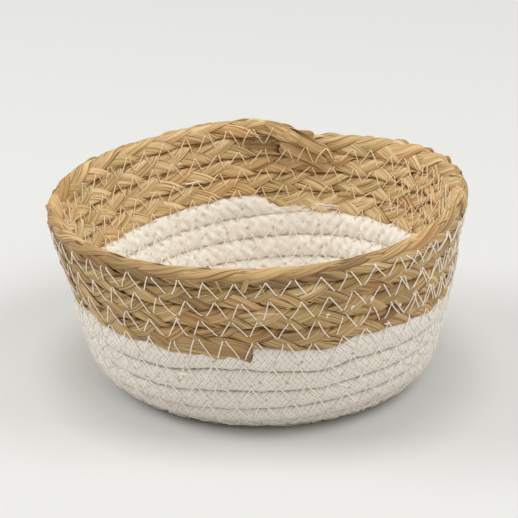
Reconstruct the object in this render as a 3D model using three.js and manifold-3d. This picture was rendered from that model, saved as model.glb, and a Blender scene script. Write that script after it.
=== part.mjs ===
// A round coiled basket. A cotton rope lies in a flat spiral and climbs into the lower wall,
// a plait of reed carries the spiral on to the rim, and zigzag threads sew the turns on both faces.
import * as THREE from 'three';
import { mergeVertices } from 'three/addons/utils/BufferGeometryUtils.js';
import Module from 'manifold-3d';

// Bowl, in millimetres and degrees, measured at the middle of the wall's thickness
const BASE_RADIUS = 60.5; // where the flat bottom starts to bend
const CORNER_RADIUS = 20; // bend from the bottom into the wall
const WALL_LEAN = 13.4; // how far the wall leans out from upright
const LEAN_SWING = 1.6; // how much steeper than that the wall stands on its higher side
const COTTON_RISE = 28.6; // straight wall that the cotton covers, halfway round its last turn
const COIL_OFFSET = 6.5; // coil's centre beside the bowl's axis, which lifts one side of the rim
const COIL_BEARING = 105; // bearing of the coil's centre and of the higher side, clockwise from the back

// Cotton rope
const ROPE_HEIGHT = 9.1; // across the wall's face
const ROPE_THICKNESS = 9.4; // through the wall
const CENTRE_HOLE = 1; // eye left in the middle of the flat spiral
const TIP_TAPER = 0.4; // share of the rope's section that is left where it starts, squeezed into the eye
const FLOOR_CUT = 0.1; // share of the rope's thickness that is worn flat where it stands

// Reed plait
const PLAIT_HEIGHT = 10.5;
const PLAIT_THICKNESS = 9;
const PLAIT_TURNS = 3.96; // turns before its end leaves the rim
const TUCK_LENGTH = 50; // end of the plait that dives down inside the wall
const TUCK_ANGLE = 105; // how far the end swings round the turn under it, from on top to inside
const TUCK_TAPER = 0.5; // share of the plait's section that is left at its tip

// Seams
const TURN_GAP = 0.5; // between one turn and the next
const BUTT_GAP = 0.4; // between the end of the rope and the start of the plait
const COTTON_SEAM_TURNS = 3; // turns of rope on the wall that show their zigzag
const THREAD_WIDTH = 1.5; // thread measured along the wall's slope, across its slanted legs
const THREAD_DEPTH = 0.8;
const THREAD_CLEARANCE = 0.3; // between a thread and the turns that it crosses
const STITCH_INSET = 1.3; // stitch ends from the middle of each turn towards the seam

// Faceting
const STEPS_PER_TURN = 24;
const TUCK_STEPS = 6;
const STITCHES_PER_STEP = 2;
const LEGS_PER_STITCH = 2;
const SNAP = 1e-9; // keeps an angle on the edge of a facet from falling to the facet before

const TURN = 2 * Math.PI;
const STEP = TURN / STEPS_PER_TURN;
const CORNER_ANGLE = THREE.MathUtils.degToRad(90 - WALL_LEAN);
const HIGH_BEARING = THREE.MathUtils.degToRad(COIL_BEARING);
const ROPE_PITCH = ROPE_HEIGHT + TURN_GAP;
const PLAIT_PITCH = PLAIT_HEIGHT + TURN_GAP;
const ROPE_MIDDLE = ROPE_THICKNESS / 2 - ROPE_THICKNESS * FLOOR_CUT;

// A point of the bowl's middle surface, by its bearing and its distance from the axis along the surface.
function bowl(distance, bearing) {
  const steeper = THREE.MathUtils.degToRad(LEAN_SWING) * Math.cos(bearing - HIGH_BEARING);
  const wallSlope = CORNER_ANGLE + steeper;
  const bend = THREE.MathUtils.clamp((distance - BASE_RADIUS) / CORNER_RADIUS, 0, wallSlope);
  const flat = Math.min(distance, BASE_RADIUS);
  const straight = Math.max(distance - BASE_RADIUS - CORNER_RADIUS * wallSlope, 0);
  return {
    radius: flat + CORNER_RADIUS * Math.sin(bend) + straight * Math.cos(bend),
    height: ROPE_MIDDLE + CORNER_RADIUS * (1 - Math.cos(bend)) + straight * Math.sin(bend),
    slope: bend,
  };
}

// A spot of the flat coil before it is bent up: reach from the coil's centre and an angle,
// clockwise from the back seen from above.
function spot(reach, angle) {
  const across = COIL_OFFSET * Math.sin(HIGH_BEARING) + reach * Math.sin(angle);
  const along = COIL_OFFSET * Math.cos(HIGH_BEARING) + reach * Math.cos(angle);
  const distance = Math.hypot(across, along);
  return { across, along, distance, ...bowl(distance, Math.atan2(across, along)) };
}

// The same spot in the bowl, at a distance out from the middle of the wall.
function place(reach, angle, out) {
  const { across, along, distance, radius, height, slope } = spot(reach, angle);
  const spread = slope > 0 ? (radius + out * Math.sin(slope)) / distance : 1;
  return new THREE.Vector3(across * spread, along * spread, height - out * Math.cos(slope));
}

// Reach of each piece at an angle counted from the joint of rope and plait, at the back.
const ROPE_END_REACH = BASE_RADIUS + CORNER_RADIUS * CORNER_ANGLE + COTTON_RISE;
const ROPE_START_REACH = (ROPE_HEIGHT * TIP_TAPER + CENTRE_HOLE) / 2;
const ROPE_STEPS = Math.round(((ROPE_END_REACH - ROPE_START_REACH) / ROPE_PITCH) * STEPS_PER_TURN);
const PLAIT_STEPS = Math.round(PLAIT_TURNS * STEPS_PER_TURN);
const PLAIT_START_REACH = ROPE_END_REACH + (PLAIT_HEIGHT - ROPE_HEIGHT) / 2;
const ropeReach = (angle) => ROPE_END_REACH + (ROPE_PITCH * angle) / TURN;
const plaitReach = (angle) => PLAIT_START_REACH + (PLAIT_PITCH * angle) / TURN;

// Six-sided section with two flats on the wall's faces and a ridge towards each neighbour.
function section(height, thickness) {
  return [
    [0, height / 2],
    [thickness / 2, height / 4],
    [thickness / 2, -height / 4],
    [0, -height / 2],
    [-thickness / 2, -height / 4],
    [-thickness / 2, height / 4],
  ];
}

function ring(outline, reach, angle, out = 0, share = 1) {
  return outline.map(([across, up]) => place(reach + up * share, angle, out + across * share));
}

// Closed tube through rings of equal count, with a fan over each end.
function tube(rings) {
  const sides = rings[0].length;
  const last = (rings.length - 1) * sides;
  const corners = [];
  for (let at = 0; at < last; at += sides) {
    for (let side = 0; side < sides; side += 1) {
      const next = (side + 1) % sides;
      corners.push(at + side, at + sides + side, at + sides + next);
      corners.push(at + side, at + sides + next, at + next);
    }
  }
  for (let side = 1; side < sides - 1; side += 1) {
    corners.push(0, side, side + 1);
    corners.push(last, last + side + 1, last + side);
  }
  const geometry = new THREE.BufferGeometry().setFromPoints(rings.flat());
  geometry.setIndex(volume(rings.flat(), corners) < 0 ? corners.reverse() : corners);
  geometry.computeVertexNormals();
  return geometry;
}

function volume(points, corners) {
  let sum = 0;
  for (let at = 0; at < corners.length; at += 3) {
    const [a, b, c] = corners.slice(at, at + 3).map((corner) => points[corner]);
    sum += a.dot(new THREE.Vector3().crossVectors(b, c)) / 6;
  }
  return sum;
}

// Least distance between points of one tube whose rings are at least this many rings apart.
function leastGap(rings, apart) {
  const points = rings.flatMap((here, at) => {
    const next = rings[Math.min(at + 1, rings.length - 1)];
    return here.flatMap((point, side) => [
      { at, point },
      { at, point: point.clone().lerp(next[side], 0.5) },
    ]);
  });
  let least = Infinity;
  points.forEach((one, index) => {
    for (let other = index + 1; other < points.length; other += 1) {
      if (points[other].at - one.at < apart) continue;
      least = Math.min(least, one.point.distanceTo(points[other].point));
    }
  });
  return least;
}

// Rope: flat spiral, bend and wall in one unbroken tube
function ropeRings() {
  const outline = section(ROPE_HEIGHT, ROPE_THICKNESS);
  return Array.from({ length: ROPE_STEPS + 1 }, (_, step) => {
    const angle = (step - ROPE_STEPS) * STEP;
    const reach = ropeReach(angle);
    const share = Math.min((2 * reach - CENTRE_HOLE) / ROPE_HEIGHT, 1);
    return ring(outline, reach, angle, 0, share);
  });
}

// Plait: its turns, then the tapered end that swings over the turn under it to the inside
function plaitRings() {
  const outline = section(PLAIT_HEIGHT, PLAIT_THICKNESS);
  const first = BUTT_GAP / spot(PLAIT_START_REACH, 0).radius;
  const rings = [ring(outline, plaitReach(first), first)];
  for (let step = 1; step <= PLAIT_STEPS; step += 1) {
    rings.push(ring(outline, plaitReach(step * STEP), step * STEP));
  }
  const rimAngle = PLAIT_STEPS * STEP;
  const tuckTurn = TUCK_LENGTH / spot(plaitReach(rimAngle), rimAngle).radius;
  const clearOfThread = 2 * THREAD_CLEARANCE + THREAD_DEPTH;
  for (let step = 1; step <= TUCK_STEPS; step += 1) {
    const done = step / TUCK_STEPS;
    const angle = rimAngle + tuckTurn * done;
    const swing = THREE.MathUtils.degToRad(TUCK_ANGLE) * done * done;
    const share = THREE.MathUtils.lerp(1, TUCK_TAPER, done);
    const gap = THREE.MathUtils.lerp(TURN_GAP, clearOfThread, done);
    const apart = (PLAIT_HEIGHT / 2) * (1 + share) + gap;
    const under = plaitReach(angle - TURN);
    rings.push(ring(outline, under + apart * Math.cos(swing), angle, -apart * Math.sin(swing), share));
  }
  return rings;
}

// A point on the facets of a turn: both ends of the facet, and the share of it that is passed.
function onFacet(reachAt, angle, up, out) {
  const step = Math.floor(angle / STEP + SNAP);
  const from = step * STEP;
  const here = place(reachAt(from) + up, from, out);
  return here.lerp(place(reachAt(from + STEP) + up, from + STEP, out), angle / STEP - step);
}

const slopeAt = (turn, angle) => spot(turn.reachAt(angle), angle).slope;

// Zigzag thread on one face (side 1 outside, -1 inside). Each turn is given by its reach and its section.
function threadRings(startAngle, steps, lower, upper, side) {
  const legs = steps * STITCHES_PER_STEP * LEGS_PER_STITCH;
  return Array.from({ length: legs + 1 }, (_, leg) => {
    const angle = startAngle + (leg * steps * STEP) / legs;
    const under = lower(angle);
    const over = upper(angle);
    const bend = slopeAt(over, angle) - slopeAt(under, angle);
    const turn = leg % LEGS_PER_STITCH ? over : under;
    const proud = (turn.height / 4 - STITCH_INSET + THREAD_WIDTH / 2) * Math.sin(bend / 2);
    const middle = leg % LEGS_PER_STITCH ? -STITCH_INSET : STITCH_INSET;
    const seat = turn.thickness / 2 + THREAD_CLEARANCE + Math.max(proud, 0);
    return [
      onFacet(turn.reachAt, angle, middle - THREAD_WIDTH / 2, side * seat),
      onFacet(turn.reachAt, angle, middle, side * (seat + THREAD_DEPTH)),
      onFacet(turn.reachAt, angle, middle + THREAD_WIDTH / 2, side * seat),
    ];
  });
}

const oneTurnBack = (reachAt) => (angle) => reachAt(angle - TURN);
const ropeTurn = { reachAt: ropeReach, height: ROPE_HEIGHT, thickness: ROPE_THICKNESS };
const ropeTurnUnder = { ...ropeTurn, reachAt: oneTurnBack(ropeReach) };
const plaitTurn = { reachAt: plaitReach, height: PLAIT_HEIGHT, thickness: PLAIT_THICKNESS };
const plaitTurnUnder = { ...plaitTurn, reachAt: oneTurnBack(plaitReach) };
const underPlait = (angle) => (angle < TURN ? ropeTurnUnder : plaitTurnUnder);
const COTTON_SEAM_STEPS = COTTON_SEAM_TURNS * STEPS_PER_TURN;
const cottonThread = (side) =>
  threadRings(-COTTON_SEAM_STEPS * STEP, COTTON_SEAM_STEPS, () => ropeTurnUnder, () => ropeTurn, side);
const reedThread = (side) => threadRings(STEP, PLAIT_STEPS - 1, underPlait, () => plaitTurn, side);

// Cut the rope flat where it stands.
const wasm = await Module();
wasm.setup();

function solid(geometry) {
  const bare = geometry.clone();
  bare.deleteAttribute('normal');
  bare.deleteAttribute('uv');
  const merged = mergeVertices(bare);
  const vertProperties = new Float32Array(merged.attributes.position.array);
  const triVerts = new Uint32Array(merged.index.array);
  return new wasm.Manifold(new wasm.Mesh({ numProp: 3, vertProperties, triVerts }));
}

function cutFlat(geometry) {
  const reach = 2 * ROPE_END_REACH;
  const floor = new THREE.BoxGeometry(reach, reach, ROPE_THICKNESS);
  floor.translate(0, 0, -ROPE_THICKNESS / 2);
  const cut = solid(geometry).subtract(solid(floor)).getMesh();
  const result = new THREE.BufferGeometry();
  result.setAttribute('position', new THREE.BufferAttribute(cut.vertProperties, 3));
  result.setIndex(new THREE.BufferAttribute(cut.triVerts, 1));
  result.computeVertexNormals();
  return result;
}

// Finishes
const COTTON = { color: 0xd8d0c4, roughness: 0.95, metalness: 0 };
const REED = { color: 0xb98f5b, roughness: 0.75, metalness: 0 };
const THREAD = { color: 0xe9dfd3, roughness: 0.7, metalness: 0 };

const basket = new THREE.Group();

function addPiece(name, rings, finish, apart, finishGeometry = (geometry) => geometry) {
  const piece = new THREE.Mesh(finishGeometry(tube(rings)), new THREE.MeshStandardMaterial(finish));
  piece.name = name;
  basket.add(piece);
  console.log(`${name}: least gap to itself ${leastGap(rings, apart).toFixed(2)} mm`);
}

const HALF_TURN = STEPS_PER_TURN / 2;
const HALF_TURN_OF_LEGS = HALF_TURN * STITCHES_PER_STEP * LEGS_PER_STITCH;
addPiece('cotton_rope', ropeRings(), COTTON, HALF_TURN, cutFlat);
addPiece('reed_plait', plaitRings(), REED, HALF_TURN);
addPiece('needle_thread_cotton', cottonThread(1), THREAD, HALF_TURN_OF_LEGS);
addPiece('bobbin_thread_cotton', cottonThread(-1), THREAD, HALF_TURN_OF_LEGS);
addPiece('needle_thread_reed', reedThread(1), THREAD, HALF_TURN_OF_LEGS);
addPiece('bobbin_thread_reed', reedThread(-1), THREAD, HALF_TURN_OF_LEGS);

// The origin is the middle of the bottom.
const box = new THREE.Box3().setFromObject(basket);
const middle = box.getCenter(new THREE.Vector3());
basket.position.set(-middle.x, -middle.y, -box.min.z);

export default basket;
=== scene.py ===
"""A round coiled basket: cotton rope below, plaited reed above, sewn turn to turn with zigzag thread."""

import math

import bpy
import numpy as np
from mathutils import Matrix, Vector
from mathutils.bvhtree import BVHTree


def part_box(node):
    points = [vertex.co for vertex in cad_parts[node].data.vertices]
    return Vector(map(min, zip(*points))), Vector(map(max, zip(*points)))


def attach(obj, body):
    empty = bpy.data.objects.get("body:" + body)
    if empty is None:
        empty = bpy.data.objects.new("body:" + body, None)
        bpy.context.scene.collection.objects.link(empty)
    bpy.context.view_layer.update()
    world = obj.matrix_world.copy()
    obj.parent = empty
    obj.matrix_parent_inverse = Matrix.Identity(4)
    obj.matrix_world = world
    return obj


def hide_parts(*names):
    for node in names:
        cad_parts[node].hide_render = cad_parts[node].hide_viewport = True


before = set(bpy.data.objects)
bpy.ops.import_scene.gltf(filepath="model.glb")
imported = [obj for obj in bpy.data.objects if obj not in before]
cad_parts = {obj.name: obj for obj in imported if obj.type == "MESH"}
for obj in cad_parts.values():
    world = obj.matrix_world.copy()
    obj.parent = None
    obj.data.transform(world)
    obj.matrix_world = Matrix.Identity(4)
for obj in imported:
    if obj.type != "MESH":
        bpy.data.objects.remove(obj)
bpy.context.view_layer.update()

TURN = 2 * math.pi
MM = 0.001
SMALLEST = 1e-9

# Bowl, in millimetres and degrees, measured at the middle of the wall's thickness
BASE_RADIUS = 60.5
CORNER_RADIUS = 20.0
WALL_LEAN = 13.4
LEAN_SWING = 1.6
COTTON_RISE = 28.6
COIL_OFFSET = 6.5
COIL_BEARING = 105.0

# Cotton rope and reed plait
ROPE_HEIGHT = 9.1
ROPE_THICKNESS = 9.4
ROPE_GIRTH = 30.0
FLOOR_CUT = 0.1
PLAIT_HEIGHT = 10.5
PLAIT_THICKNESS = 9.0
TURN_GAP = 0.5
PLAIT_TURNS = 4
STEPS_PER_TURN = 24

# How far the turns beside the joint of cotton and reed stray up the wall, by bearing clockwise from the back
STRAY_RISES = (
    (0, 3.9), (23, 3.7), (53, 1.6), (85, 0.3), (104, -2.6), (118, -4.3), (132, -3.1), (146, -1.1),
    (154, -0.4), (165, -4.4), (180, -1.0), (190, 1.5), (201, 1.6), (211, -1.7), (222, -1.9), (232, -2.6),
    (245, 0.2), (260, 1.8), (275, 2.5), (305, 0.8), (335, 2.4), (360, 3.9))
STRAY_REACH = (85.0, 117.0, 117.0, 150.0)

# How far the cotton turns of the outer front sag, by bearing
SAG_DEPTHS = ((0, 0), (75, 0), (110, 2.6), (140, 4.3), (216, 4.3), (240, 2.5), (280, 0), (360, 0))
SAG_REACH = (62.0, 86.0, 97.0, 118.0)

# Where the upper wall is pressed in or bulges out: bearing, spread to both sides, depth
PRESSES = ((95.0, 60.0, 2.2), (262.0, 60.0, -1.4))
PRESS_REACH = (118.0, 140.0)

# Rope from its eye to its end under the reed, by angle past the joint. Losses are at the end and its tip.
ROPE_STEP = 0.5
ROPE_SIDES = 60
ROPE_SQUARE = 0.84
ROPE_SAMPLES = 60000
ROPE_PIECES = 6
ROPE_TAIL = math.radians(20)
ROPE_THINNING = np.radians((-7, 3))
ROPE_TIP_THINNING = np.radians((13, 20))
END_HEIGHT_LOSS = (7.0, 1.8)
END_DROP = (3.6, 0.6)
END_THICKNESS_LOSS = (0.3, 0.4)
ROPE_OVERLAP = 0.8
LAST_TURN_GROWTH = 1.4
LAST_TURN_EASING = 0.3
EYE_START = 0.4
EYE_HOLE = 0.1
EYE_ROUNDING = 0.3

# Cotton braid. Wanders give their amount and length.
YARNS = 12
YARN_PITCH = 3.0
YARN_PLIES = 2
YARN_RELIEF = 0.34
YARN_MIDDLE = 0.75
CROWN_POWER = 0.7
CROWN_SHARE = 0.55
YARN_CREEP = (0.25, 30)
YARN_TWIST = (0.3, 80)
ROPE_WANDER = (0.12, 45)
ROPE_SWELL = (0.02, 14)
LUMP_LENGTHS = (3.0, 6.8)
LUMP_DEPTH = 0.1
INNER_LUMP_DEPTH = 0.31
INNER_FACE = 1 / 3
WORN_FACE = 5 / 3
# Painted shade along the seams between turns: where it starts and is full across the rope, and how much
# lighter on the inner face
SEAM_SHADE = (0.83, 0.93)
INNER_SEAM_LIGHTNESS = 0.85

# Plait, from its start beside the end of the rope
PLAIT_STEP = 1.0
PLAIT_SAMPLES = 30000
PLAIT_START = math.radians(-7)
PLAIT_START_TURN = math.radians(28)
PLAIT_START_RISE = 1.2
PLAIT_START_THINNING = 0.3
PLAIT_ROUNDING = 1.7
PLAIT_TAPERS = (7, 12)

# Rim: how far its upper half is flattened, by bearing, and how much narrower and rounder it is
RIM_ANGLE = math.radians(1425)
RIM_EASING = 0.3
RIM_LEAF_EASING = 25
RIM_DROPS = (
    (0, 1.3), (60, -0.8), (110, 0.0), (150, 3.0), (165, 3.4), (180, 2.8), (205, 2.7), (230, 2.5),
    (260, 0.5), (290, 0.6), (320, 2.2), (345, 2.1), (360, 1.3))
RIM_NARROWING = 0.38
RIM_ROUNDING = 3.2

# Rim leaves: bearing, stretch along the rim and darkening, partly the leaves' own tone and partly painted
# shade
RIM_LEAVES = (
    (0, 1.25, -0.04), (70, 1.25, 0.0), (105, 1.6, -0.06), (118, 2.2, -0.16), (142, 2.2, -0.1),
    (156, 1.6, 0.2), (250, 1.55, 0.1), (290, 1.45, 0.02), (330, 1.3, -0.04), (360, 1.25, -0.04))
RIM_VARIETY = 0.1

# The plait's end rolls over the turn below to the inside: degrees past the rim's end, and swing in degrees
TUCK_SWINGS = ((0, 0), (15, 29), (18, 46), (23, 55), (28, 72), (32, 100))
TUCK_TURN = math.radians(32)
TUCK_TAPER = 0.7
TUCK_CLEARANCE = 0.9
TAIL_TURN = math.radians(8)
TAIL_DROP = 8.0
TAIL_OUT = 2.6
TAIL_THINNING = 0.3

# Reed leaves, folded over the edges of the plait from its inner face to its outer face
STRANDS = 3
LEAVES_PER_TURN = 56
LEAF_WIDTH = 11.6
LEAF_WIDTHS = (0.85, 1.12)
LEAF_GIRTH = 2.1 * LEAF_WIDTH
LEAF_THICKNESS = 1.0
LEAF_THICKNESSES = (0.85, 1.25)
LEAF_TILT = 0.105
LEAF_BULGE = 0.5
LEAF_HALF_LENGTH = 23.5
LEAF_STEP = 0.9
LEAF_SIDES = 36
LEAF_SQUARE = 0.7
LEAF_TAPER = 6
LEAF_SCATTER = 0.1
LEAF_LIFT_SCATTER = 0.12
LEAF_CROSSING = 1.5
LEAF_CROSSINGS = (0.92, 1.12)
# The leaves' margins get painted shade: where it starts and is full across the leaf, and how dark
LEAF_MARGIN = (0.945, 0.99)
MARGIN_SHADE = 0.95
BLADES = 4
BLADE_FOLD = 0.16
BLADE_EDGES = (0.16, 0.92)
BLADE_VARIETY = 0.22
BLADE_WANDERS = (0.1, 0.3)
BLADE_DRIFT = 0.006
BLADE_SWAY = 0.12
WANDER_LENGTHS = (30, 60)
SCATTER_STEP = 12.9898
SCATTER_SIZE = 43758.5453
CREST_LEVEL = 0.8
FOLD_DEPTH = 0.6
FOLD_DEPTHS = (0.05, 1.2)
FOLD_LENGTHS = (25, 50)
TINT_WAVE = 0.07
TINT_LENGTHS = (18, 40)
BLUSH_VARIETY = 0.15
BLUSH_STEP = 7.1
FOLD_SHARE = 0.35
FOLD_SHARPNESS = 3.0
LEAF_TINT = (0.46, 0.14)
LEAF_TINTS = (0.12, 0.82)
# Painted light: the leaves' inner faces are painted paler, for the brighter light inside the basket
INNER_PAINTED_LIGHT = 0.58
PALEST_LEAF = 0.88

# Leaves in the middle of the plait
CORE_HEIGHT = 11.6
CORE_THICKNESS = 3.6
CORE_GIRTH = 28.0
CORE_SQUARE = 0.5
CORE_SIDES = 20
CORE_TAPERS = (6, 30)
CORE_PAST_RIM = math.radians(22)
CORE_THINNING = 0.4
CORE_THINNING_TURN = (0.25, 0.45)
CORE_BARE = (26, 14)

# Sewing
STITCH_LENGTH = 12.2
STITCH_INSET = 0.9
STITCH_SCATTER = 0.05
EDGE_SCATTER = 0.35
UPHILL_SHARE = 0.58
THREAD_RADIUS = 0.28
THREAD_SIDES = 6
THREAD_UNDER_ROPE = 0.34
COTTON_SEAM = (-10.6 * TURN, -0.02 * TURN)
REED_SEAM = (0.01 * TURN, RIM_ANGLE + math.radians(20))
RESEWN = np.radians((40, 142))
RESEWN_LENGTHS = (0.97, 1.09, 1.21)
RESEWN_SHIFT = 0.4

# Needle holes on the rope's outer and inner face: way out, least and most painted shade in them, width
FACE_HOLES = ((1, 0.1, 0.75, 0.62), (-1, -0.1, 0.58, 0.78))
HOLE_DEPTH = 0.7
PULL_DEPTH = 0.45
PULL_WIDTH = 2.0
PULL_RINGS = 12

# Legs of the stitches, apart at the upper and the lower hole
LEG_POINTS = 11
LEG_APART = (0.2, 0.85)
LEG_SCATTER = 0.45
LEG_BOW = 0.4
LEG_END_DEPTH = 0.8
LEG_RADIUS_SHARE = 0.75
LEG_RADIUS_LEAST = 10
COTTON_SINK = 1.1
COTTON_SINK_BELOW_SEAM = (0.5, 2.0)
RAY_FROM = 13.0
SURFACE_LEAST = 1.0

ROPE_PITCH = ROPE_HEIGHT + TURN_GAP
PLAIT_PITCH = PLAIT_HEIGHT + TURN_GAP
ROPE_MIDDLE = ROPE_THICKNESS * (0.5 - FLOOR_CUT)
CORNER_ANGLE = math.radians(90 - WALL_LEAN)
HIGH_BEARING = math.radians(COIL_BEARING)
ROPE_END_REACH = BASE_RADIUS + CORNER_RADIUS * CORNER_ANGLE + COTTON_RISE
PLAIT_START_REACH = ROPE_END_REACH + (PLAIT_HEIGHT - ROPE_HEIGHT) / 2


# Shapes of the coil

def ease(value, start, end):
    """Eases from 0 at one value to 1 at another."""
    share = np.clip((value - start) / (end - start), 0, 1)
    return share * share * (3 - 2 * share)


def swelling(reach, start, full, still_full, end):
    """Eases from 0 to 1 and back to 0, by reach."""
    return ease(reach, start, full) * ease(reach, end, still_full)


def by_bearing(angle, table, column=1):
    """Values at angles, from a column of a table whose first column is bearings in degrees."""
    columns = list(zip(*table))
    return np.interp(np.degrees(angle) % 360, columns[0], columns[column])


def ripple(along, amount, length, seed, waves=5):
    """Seeded wander of about this amount either way, in waves about this long."""
    dice = np.random.default_rng(seed)
    total = np.zeros_like(along)
    for _ in range(waves):
        total += np.sin(TURN * along / (length * dice.uniform(0.6, 1.7)) + dice.uniform(0, TURN))
    return amount * (total / math.sqrt(waves))


def rope_reach(angle):
    return ROPE_END_REACH + ROPE_PITCH * angle / TURN


def plait_reach(angle):
    return PLAIT_START_REACH + PLAIT_PITCH * angle / TURN


def bend_up(reach, angle, out):
    """A spot of the flat coil in the bowl: reach from the coil's centre, clockwise angle from the back,
    and distance out from the middle of the wall."""
    across = COIL_OFFSET * math.sin(HIGH_BEARING) + reach * np.sin(angle)
    along = COIL_OFFSET * math.cos(HIGH_BEARING) + reach * np.cos(angle)
    distance = np.maximum(np.hypot(across, along), SMALLEST)
    steeper = math.radians(LEAN_SWING) * np.cos(np.arctan2(across, along) - HIGH_BEARING)
    wall_slope = CORNER_ANGLE + steeper
    bend = np.clip((distance - BASE_RADIUS) / CORNER_RADIUS, 0, wall_slope)
    flat = np.minimum(distance, BASE_RADIUS)
    straight = np.maximum(distance - BASE_RADIUS - CORNER_RADIUS * wall_slope, 0)
    radius = flat + CORNER_RADIUS * np.sin(bend) + straight * np.cos(bend)
    height = ROPE_MIDDLE + CORNER_RADIUS * (1 - np.cos(bend)) + straight * np.sin(bend)
    spread = (radius + out * np.sin(bend)) / distance
    return np.stack([across * spread, along * spread, height - out * np.cos(bend)], -1)


def middle_of_plait():
    """Middle of the plait's six-sided stand-in before the whole basket is centred."""
    angle = np.arange(1, PLAIT_TURNS * STEPS_PER_TURN)[:, None] * TURN / STEPS_PER_TURN
    corner = np.arange(6) * TURN / 6
    up = np.cos(corner) * PLAIT_HEIGHT / 2
    out = np.sin(corner) / math.sin(TURN / 6) * PLAIT_THICKNESS / 2
    corners = bend_up(plait_reach(angle) + up, angle + 0 * up, out + 0 * angle).reshape(-1, 3)
    return (corners.min(0) + corners.max(0)) / 2


plait_low, plait_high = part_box("reed_plait")
CENTRING = np.array([*((plait_low + plait_high) / 2 / MM)]) - middle_of_plait()
CENTRING[2] = 0


def place(reach, angle, out):
    """A spot of the coil in the basket, with the stray and sag of its turns and the dents in its wall."""
    stray = by_bearing(angle, STRAY_RISES) * swelling(reach, *STRAY_REACH)
    sag = by_bearing(angle, SAG_DEPTHS) * swelling(reach, *SAG_REACH)
    for bearing, spread, depth in PRESSES:
        beside = np.abs((np.degrees(angle) - bearing + 180) % 360 - 180)
        out = out - depth * ease(beside, spread, 0) * ease(reach, *PRESS_REACH)
    return bend_up(reach + stray - sag, angle, out) + CENTRING


def lengths(points):
    """Length passed at each point of a line."""
    steps = np.linalg.norm(np.diff(points, axis=0), axis=1)
    return np.concatenate([[0], np.cumsum(steps)])


def outline(sides, width, thick, square):
    """Even points round a flattened ring, as shares of half its width and thickness, and the ways out."""
    turn = np.linspace(0, TURN, 4000)
    across = np.sign(np.cos(turn)) * np.abs(np.cos(turn)) ** square * width / 2
    through = np.sign(np.sin(turn)) * np.abs(np.sin(turn)) ** square * thick / 2
    passed = lengths(np.stack([across, through], -1))
    even = np.arange(sides) / sides * passed[-1]
    spots = np.stack([np.interp(even, passed, across), np.interp(even, passed, through)])
    step = np.roll(spots, -1, 1) - np.roll(spots, 1, 1)
    step /= np.linalg.norm(step, axis=0)
    return spots[0] / (width / 2), spots[1] / (thick / 2), step[1], -step[0]


def tip_taper(along, start, end):
    """Rounds off both ends of a bundle over these lengths."""
    thinnest = 0.0004
    from_start = np.clip(along / start, thinnest, 1)
    from_end = np.clip((along[-1] - along) / end, thinnest, 1)
    return np.sqrt(from_start * (2 - from_start)) * np.sqrt(from_end * (2 - from_end))


def evenly(points, step, *columns):
    """Even lengths along a line of points, and what the columns say there."""
    passed = lengths(points)
    along = np.arange(0, passed[-1], step)
    return along, *(np.interp(along, passed, values) for values in columns)


# Meshes

def add_object(name, data):
    thing = bpy.data.objects.new(name, data)
    bpy.context.scene.collection.objects.link(thing)
    return thing


def tube_faces(count, rings, sides):
    """Quads of tubes that follow one another, ring by ring."""
    tube = np.arange(count)[:, None, None] * rings * sides
    ring = tube + np.arange(rings - 1)[:, None] * sides
    side = np.arange(sides)
    after = (side + 1) % sides
    quads = np.stack([ring + side, ring + after, ring + sides + after, ring + sides + side], -1)
    return quads.reshape(-1, 4)


def tube_uv(along, girth, sides):
    """Corner coordinates of a tube's quads in metres: along it and round it."""
    grid = np.stack(np.meshgrid(along, np.arange(sides + 1) * girth / sides, indexing="ij"), -1) * MM
    corners = [grid[:-1, :-1], grid[:-1, 1:], grid[1:, 1:], grid[1:, :-1]]
    return np.stack(corners, 2).reshape(-1, 2)


def add_tubes(name, points, along, girth, material, nodes, fields=None, shift=0):
    """A smooth piece of tubes that rides on the basket and may stand for CAD nodes. Points, in millimetres,
    go by tube, ring and side."""
    count, rings, sides = points.shape[:3]
    faces = tube_faces(count, rings, sides)
    uv = np.broadcast_to(tube_uv(along, girth, sides) + shift, (count, faces.size // count, 2))
    mesh = bpy.data.meshes.new(name)
    mesh.vertices.add(count * rings * sides)
    mesh.vertices.foreach_set("co", (points * MM).astype(np.float32).ravel())
    mesh.loops.add(faces.size)
    mesh.loops.foreach_set("vertex_index", faces.astype(np.int32).ravel())
    mesh.polygons.add(len(faces))
    mesh.polygons.foreach_set("loop_start", np.arange(0, faces.size, faces.shape[1], dtype=np.int32))
    mesh.polygons.foreach_set("use_smooth", np.ones(len(faces), bool))
    mesh.update(calc_edges=True)
    layer = mesh.uv_layers.new(name="UVMap")
    layer.data.foreach_set("uv", uv.astype(np.float32).ravel())
    for field, values in (fields or {}).items():
        attribute = mesh.attributes.new(field, "FLOAT", "POINT")
        attribute.data.foreach_set("value", values.astype(np.float32).ravel())
    mesh.materials.append(material)
    piece = add_object(name, mesh)
    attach(piece, "root")
    if nodes:
        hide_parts(*nodes)
    return piece


def add_threads(name, lines, outward, radius, material, nodes):
    """Many short round threads in one piece. Lines are points per thread, outward the way off the surface."""
    count, steps = lines.shape[:2]
    forward = np.gradient(lines, axis=1)
    forward /= np.linalg.norm(forward, axis=2, keepdims=True) + SMALLEST
    beside = np.cross(forward, outward)
    beside /= np.linalg.norm(beside, axis=2, keepdims=True) + SMALLEST
    above = np.cross(beside, forward)
    turn = TURN * np.arange(THREAD_SIDES) / THREAD_SIDES
    girth = np.broadcast_to(np.asarray(radius, float), (count, steps))[..., None, None]
    ring = beside[:, :, None] * np.cos(turn)[:, None] + above[:, :, None] * np.sin(turn)[:, None]
    points = lines[:, :, None] + girth * ring
    along = np.linspace(0, 1, steps) * STITCH_LENGTH
    return add_tubes(name, points, along, TURN * THREAD_RADIUS, material, nodes)


# Materials

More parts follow.
